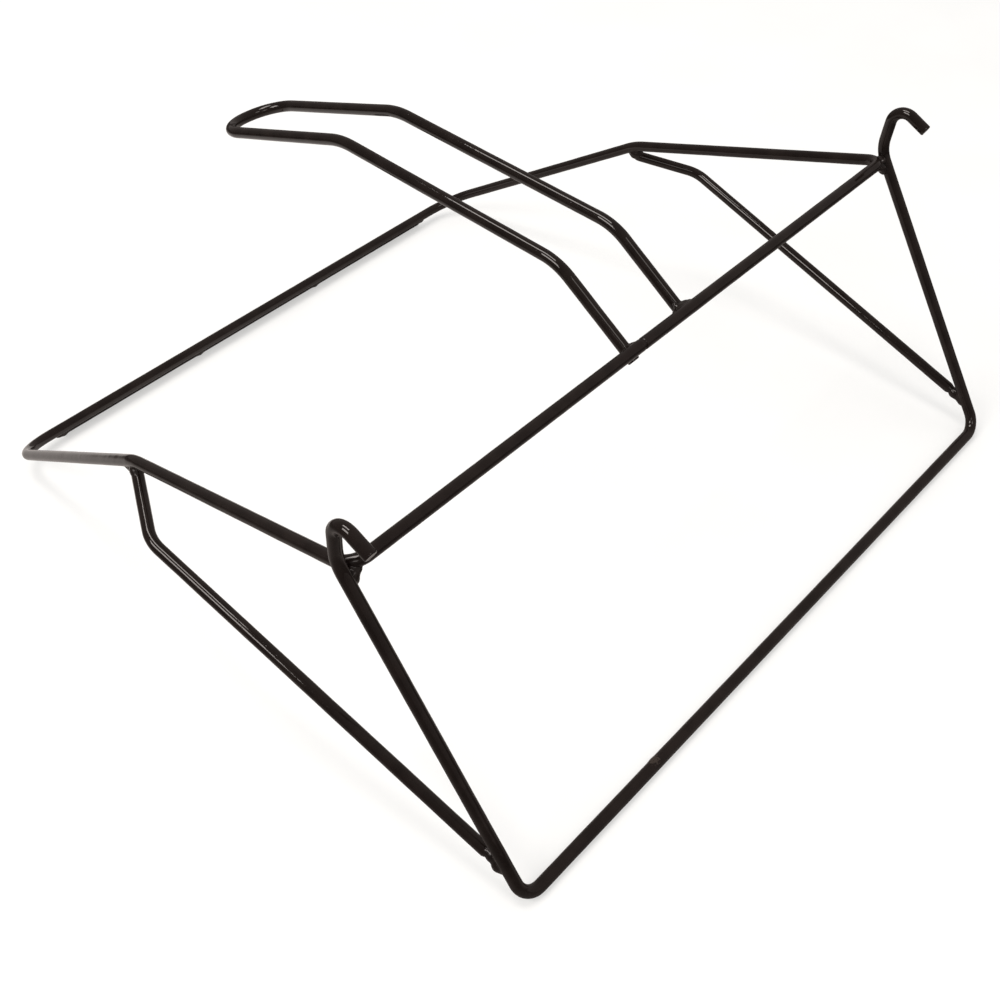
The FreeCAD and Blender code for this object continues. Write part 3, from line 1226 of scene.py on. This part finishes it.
@dataclass
class Welds:
    """Every bead of the rack.

    Args:
        rack: the bender and the finishes.
        loop: the shelf loop.
        hooks: the hook frame.
        arm: the retaining arm.
        braces: the two braces.
        edge: the edge rod.
        butt_share: thickness of the butt weld, as a share of the rod's.
        butt_half: half the butt weld's length.
        foot_height: how high up the leg the brace's end meets it.
        tack_places: where along the edge rod its tacks are.
        tack_widths: half the width of each tack.
    """

    rack: Rack
    loop: ShelfLoop
    hooks: HookFrame
    arm: RetainingArm
    braces: dict[Side, Brace]
    edge: EdgeRod
    butt_share: float = 0.87
    butt_half: float = 1.65 * MM
    foot_height: float = 22.5 * MM
    tack_places: tuple[float, ...] = (-200.5 * MM, -65.2 * MM, 65.2 * MM, 200.5 * MM)
    tack_widths: tuple[float, ...] = (2.4 * MM, 2.4 * MM, 2.4 * MM, 1.5 * MM)

    def build(self) -> None:
        """Makes all beads."""
        self._butt()
        for side in Side:
            self._corner(side)
            self._brace_top(side)
            self._brace_foot(side)
            self._root(side)
        for number, place in enumerate(zip(self.tack_places, self.tack_widths), start=1):
            self._tack(number, *place)

    def _butt(self) -> None:
        """The flush weld between the shelf loop's two ends: three nubs and a dent."""
        middle = self.loop.joint
        half = Vector((self.butt_half, 0.0, 0.0))
        ring = RodBender(radius=self.rack.bender.radius * self.butt_share,
                         feed_step=0.5 * MM, end_round=0.5 * MM)
        bead = ring.make("butt_weld", Route((middle - half, middle + half)))
        EnamelCoat.raise_nubs(bead, [
            Nub(middle + mm(0.2, -1.6, 3.0), mm(0, -0.2, 0.42), 1.8 * MM),
            Nub(middle + mm(-0.1, 0.8, 3.4), mm(0, 0.1, 0.46), 1.8 * MM),
            Nub(middle + mm(0.1, 2.9, 1.8), mm(0, 0.35, 0.2), 1.8 * MM),
            Nub(middle + mm(0.0, -3.3, -0.9), mm(0, 2.2, 0.5), 1.8 * MM)])
        self.rack.finish(bead, "weld_butt", Slot.WELD)

    def _corner(self, side: Side) -> None:
        """The bead under the loop's top corner, against the inside of the leg.

        Args:
            side: its side.
        """
        corner = self.loop.top_corner
        leg = self.hooks.on_leg(corner.z - 8 * MM)
        centre = Vector((corner.x - 0.5 * MM, leg.y + 2.7 * MM, corner.z - 5.7 * MM))
        under_corner = Puddle(side.place(centre), side.place(Vector((0.0, 0.54, 0.84))),
                              half_length=4.7 * MM, half_width=3.5 * MM, drops=4)
        under_bar = Puddle(side.place(centre + mm(-1.2, -0.2, 1.4)), Vector((1.0, 0.0, 0.0)),
                           half_length=4.0 * MM, half_width=2.8 * MM, drops=3)
        puddles = [under_corner, under_bar]
        if side is Side.RIGHT:
            round_bend = Puddle(corner + mm(-0.4, 1.0, 1.2), Vector((0.71, 0.68, -0.19)),
                                half_length=4.6 * MM, half_width=2.7 * MM, drops=3)
            puddles.append(round_bend)
        ahead = (self.loop.kink - corner).normalized()
        bend = Route((corner - mm(22, 0, 0), corner, corner + step(ahead, 22)),
                     (self.loop.top_bend,))
        leg_stub = Route((self.hooks.on_leg(corner.z - 26 * MM),
                          self.hooks.on_leg(corner.z - 6 * MM)))
        WeldBead(self.rack, "corner_weld_" + side.word, "weld_corner_" + side.word,
                 puddles, [bend.on(side), leg_stub.on(side)],
                 seed=Joint.CORNER.seed(side.number)).build()

    def _brace_top(self, side: Side) -> None:
        """The bead around the brace's end, under the loop's kink.

        Args:
            side: its side.
        """
        brace = self.braces[side]
        kink = self.loop.kink
        outward = (brace.top - brace.bend).normalized()
        back = (self.loop.top_corner - kink).normalized()
        ahead = (self.loop.outer_corner - kink).normalized()
        under = Vector((0.25, -0.48, -0.84))
        puddles = [Puddle(brace.top + step(outward, 2.2) + mm(0, 0, 1.6), outward,
                          half_length=6.4 * MM, half_width=4.7 * MM, drops=5)]
        if side is Side.LEFT:
            spur_way = under * 6 - ahead * 11
            puddles += [
                Puddle(kink + step(ahead, 13.5) + step(under, 6.0), spur_way,
                       half_length=6.4 * MM, half_width=1.0 * MM, drops=5),
                Puddle(kink + step(ahead, 9.0) + step(under, 5.4), spur_way,
                       half_length=4.4 * MM, half_width=2.0 * MM, drops=3)]
        else:
            puddles.append(
                Puddle(kink + step(ahead, 4.8) + step(under, 6.6), under * 8 - ahead * 6,
                       half_length=4.6 * MM, half_width=2.7 * MM, drops=3))
        bend = Route((kink + step(back, 24), kink, kink + step(ahead, 24)),
                     (self.loop.kink_bend,))
        stub = Route((brace.top - step(outward, 14), brace.top + step(outward, 2)))
        WeldBead(self.rack, "brace_top_weld_" + side.word, "weld_brace_top_" + side.word,
                 [puddle.on(side) for puddle in puddles], [bend.on(side), stub.on(side)],
                 seed=Joint.BRACE_TOP.seed(side.number)).build()

    def _brace_foot(self, side: Side) -> None:
        """The bead that fills the wedge between the brace's end and the leg.

        Args:
            side: its side.
        """
        brace = self.braces[side]
        target = self.hooks.on_leg(self.foot_height)
        down_brace = (brace.foot - brace.bend).normalized()
        down_leg = (self.hooks.foot - self.hooks.leg_top).normalized()
        centre = target - step(down_brace, 8.0) + step(down_leg, 1.0)
        slope = (down_brace + down_leg).normalized()
        behind = Vector((0.0, -down_leg.z, down_leg.y))
        if side is Side.LEFT:
            puddles = [
                Puddle(centre - step(slope, 5.4), slope,
                       half_length=5.2 * MM, half_width=4.5 * MM, drops=3),
                Puddle(centre + step(slope, 1.2) + step(behind, 0.6), slope,
                       half_length=5.8 * MM, half_width=5.1 * MM, drops=3)]
        else:
            puddles = [
                Puddle(centre - step(slope, 4.6) + mm(0.0, 0.4, -1.2), slope,
                       half_length=5.2 * MM, half_width=4.3 * MM, drops=3),
                Puddle(centre + step(slope, 2.6) - step(behind, 1.2), slope,
                       half_length=6.8 * MM, half_width=4.2 * MM, drops=4)]
        leg = Route((target - step(down_leg, 22), target + step(down_leg, 13)))
        stub = Route((brace.foot - step(down_brace, 16), brace.foot + step(down_brace, 1)))
        WeldBead(self.rack, "brace_foot_weld_" + side.word, "weld_brace_foot_" + side.word,
                 [puddle.on(side) for puddle in puddles], [leg.on(side), stub.on(side)],
                 seed=Joint.BRACE_FOOT.seed(side.number)).build()

    def _root(self, side: Side) -> None:
        """The bead where the retaining arm passes under the top bar.

        Args:
            side: its side.
        """
        beside, down = self.arm.root()
        beside = side.place(beside)
        bar = Vector((beside.x, self.loop.top_corner.y, self.loop.top_corner.z))
        middle = beside + (bar - beside) * 0.45
        bar_way = Vector((1.0, 0.0, 0.0))
        reach = Vector((15 * MM, 0.0, 0.0))
        if side is Side.LEFT:
            puddles = [Puddle(middle - step(down, 1.2) + mm(1.4, 0, -0.5), bar_way,
                              half_length=8.6 * MM, half_width=4.6 * MM, drops=4)]
            # the butt weld is close by, so the bar's stub is short on that side
            bar_stub = Route((bar - reach, bar + reach * 0.3))
        else:
            puddles = [Puddle(middle - step(down, 1.5), bar_way,
                              half_length=9.4 * MM, half_width=5.6 * MM, drops=4),
                       Puddle(middle - step(down, 3.0) + mm(-3.9, 0, 0), down,
                              half_length=4.6 * MM, half_width=2.4 * MM, drops=3)]
            bar_stub = Route((bar - reach, bar + reach))
        arm_stub = Route((beside - step(down, 16), beside + down * self.arm.tail(side)))
        WeldBead(self.rack, "root_weld_" + side.word, "weld_retainer_" + side.word,
                 puddles, [bar_stub, arm_stub],
                 seed=Joint.ROOT.seed(side.number)).build()

    def _tack(self, number: int, x: float, half_width: float) -> None:
        """One short bead in the groove between the outer bar and the edge rod.

        Args:
            number: its number, from the left.
            x: where it is along the rod.
            half_width: half its width.
        """
        bar = Vector((x, self.loop.outer_corner.y, self.loop.outer_corner.z))
        rod = Vector((x, self.edge.y, self.edge.height))
        across = rod - bar
        groove = Vector((0.0, across.z, -across.y)).normalized()
        puddle = Puddle(bar + across * 0.5 + step(groove, 3.2), Vector((1.0, 0.0, 0.0)),
                        half_length=2 * half_width, half_width=half_width, drops=3)
        half = Vector((7 * MM, 0.0, 0.0))
        furthest = self.edge.span / 2 - 0.5 * MM
        stubs = [Route((bar - half, bar + half)),
                 self.edge.stretch(max(x - half.x, -furthest), min(x + half.x, furthest))]
        WeldBead(self.rack, "tack_weld_%d" % number, "weld_tack_%d" % number,
                 [puddle], stubs, seed=Joint.TACK.seed(number), melt=22).build()


# --------------------------------------------------------------------------
# Studio
# --------------------------------------------------------------------------


@dataclass(frozen=True)
class Softbox:
    """A soft lamp panel that faces the rack.

    Args:
        name: its name.
        azimuth: direction that it stands in, in degrees from +X towards +Y.
        elevation: how high it stands, in degrees.
        width: its width.
        length: its length, along Y where it hangs overhead.
        glow: light that it sends out per area.
        distance: how far off it stands.
        colour: the light's colour.
    """

    name: str
    azimuth: float
    elevation: float
    width: float
    length: float
    glow: float
    distance: float = 2.6
    colour: tuple[float, float, float] = (1.0, 0.97, 0.94)

    def light(self, target: Vector) -> None:
        """Hangs the lamp.

        Args:
            target: the point that it faces.
        """
        azimuth, elevation = math.radians(self.azimuth), math.radians(self.elevation)
        toward = Vector((math.cos(elevation) * math.cos(azimuth),
                         math.cos(elevation) * math.sin(azimuth), math.sin(elevation)))
        across = Vector((0.0, 1.0, 0.0)).cross(toward).normalized()
        along = toward.cross(across)
        lamp = bpy.data.lights.new(self.name, "AREA")
        lamp.shape = "RECTANGLE"
        lamp.size = self.width
        lamp.size_y = self.length
        lamp.energy = self.glow * math.pi * self.width * self.length
        lamp.color = self.colour
        holder = bpy.data.objects.new(self.name, lamp)
        turn = Matrix((across, along, toward)).transposed().to_4x4()
        holder.matrix_world = Matrix.Translation(target + toward * self.distance) @ turn
        bpy.context.scene.collection.objects.link(holder)


@dataclass(frozen=True)
class Viewpoint:
    """Where the camera stands and how it is turned.

    Args:
        place: where it stands.
        right: the direction that is to the right in the picture.
        up: the direction that is up in the picture.
        lens: focal length, in millimetres.
        film: width of the picture on the film, in millimetres.
    """

    place: Vector = field(default_factory=lambda: mm(-548.95, -511.45, 672.07))
    right: Vector = field(default_factory=lambda: Vector((0.66247, -0.74896, -0.01354)))
    up: Vector = field(default_factory=lambda: Vector((0.52533, 0.45164, 0.72114)))
    lens: float = 47.225
    film: float = 36.0

    def stand(self) -> None:
        """Sets up the camera there."""
        lens = bpy.data.cameras.new("studio_camera")
        lens.lens = self.lens
        lens.sensor_width = self.film
        lens.clip_start = 0.05
        camera = bpy.data.objects.new("studio_camera", lens)
        back = self.right.cross(self.up)
        turn = Matrix((self.right, self.up, back)).transposed().to_4x4()
        camera.matrix_world = Matrix.Translation(self.place) @ turn
        bpy.context.scene.collection.objects.link(camera)
        bpy.context.scene.camera = camera
        bpy.context.scene.view_settings.view_transform = "Standard"


@dataclass
class Studio:
    """Floor, soft light and camera.

    Args:
        target: the point that the lamps face.
        view: the camera's place.
        boxes: the lamps.
        floor_size: width of the floor.
        floor_faces: how many faces it has each way.
        tent_glow: how bright the room is round floor and background.
        tent_colour: its colour there.
        room_glow: how bright the gloss sees the room towards -X and +X.
        room_colour: its colour in the gloss.
    """

    target: Vector = field(default_factory=lambda: Vector((0.0, 0.0, 0.12)))
    boxes: tuple[Softbox, ...] = (
        Softbox("overhead_box", 122.8, 74.3, 0.62, 1.45, 7.6),
        Softbox("side_box", 167.1, 42.8, 0.78, 1.10, 7.3),
        Softbox("front_box", -102.0, 50.0, 0.7, 0.8, 2.0),
        Softbox("corner_box", -136.0, 31.0, 0.6, 0.9, 1.6),
    )
    view: Viewpoint = field(default_factory=Viewpoint)
    floor_size: float = 60.0
    floor_faces: int = 40
    tent_glow: float = 0.78
    tent_colour: Colour = (1.0, 0.995, 0.985, 1.0)
    room_glow: tuple[float, float] = (0.11, 0.31)
    room_colour: Colour = (1.0, 0.90, 0.85, 1.0)

    def build(self) -> None:
        """Sets up floor, light and camera."""
        self._floor()
        self._room()
        for box in self.boxes:
            box.light(self.target)
        self.view.stand()

    def _floor(self) -> None:
        """A wide pale sheet under the rack."""
        Bench.clear()
        bpy.ops.mesh.primitive_grid_add(
            x_subdivisions=self.floor_faces, y_subdivisions=self.floor_faces,
            size=self.floor_size, location=(0, 0, 0))
        floor = Bench.settle()
        floor.name = "studio_floor"
        floor.data.materials.append(PaleSheet().material())

    def _room(self) -> None:
        """Pale all round for floor and background, and a dim, warm room in the gloss."""
        world = bpy.data.worlds.new("studio_room")
        bpy.context.scene.world = world
        world.use_nodes = True
        nodes, links = world.node_tree.nodes, world.node_tree.links
        nodes.clear()
        place = nodes.new("ShaderNodeTexCoord")
        split = nodes.new("ShaderNodeSeparateXYZ")
        ramp = nodes.new("ShaderNodeMapRange")
        ray = nodes.new("ShaderNodeLightPath")
        tent = nodes.new("ShaderNodeBackground")
        room = nodes.new("ShaderNodeBackground")
        mix = nodes.new("ShaderNodeMixShader")
        output = nodes.new("ShaderNodeOutputWorld")
        tent.inputs["Color"].default_value = self.tent_colour
        tent.inputs["Strength"].default_value = self.tent_glow
        room.inputs["Color"].default_value = self.room_colour
        for socket, value in zip(("From Min", "From Max", "To Min", "To Max"),
                                 (-1.0, 1.0, *self.room_glow)):
            ramp.inputs[socket].default_value = value
        links.new(place.outputs["Generated"], split.inputs["Vector"])
        links.new(split.outputs["X"], ramp.inputs["Value"])
        links.new(ramp.outputs["Result"], room.inputs["Strength"])
        links.new(ray.outputs["Is Glossy Ray"], mix.inputs["Fac"])
        links.new(tent.outputs["Background"], mix.inputs[1])
        links.new(room.outputs["Background"], mix.inputs[2])
        links.new(mix.outputs["Shader"], output.inputs["Surface"])


def main() -> None:
    """Builds the rack and the studio in order."""
    logging.basicConfig(level=logging.INFO, format="%(name)s: %(message)s")
    rack = Rack(Finishes())
    loop = ShelfLoop(rack)
    hooks = HookFrame(rack)
    arm = RetainingArm(rack)
    edge = EdgeRod(rack)
    braces = {side: Brace(rack, side) for side in Side}
    for part in (loop, hooks, arm, edge, *braces.values()):
        part.build()
    Welds(rack, loop, hooks, arm, braces, edge).build()
    Studio().build()


if __name__ == "__main__":
    main()
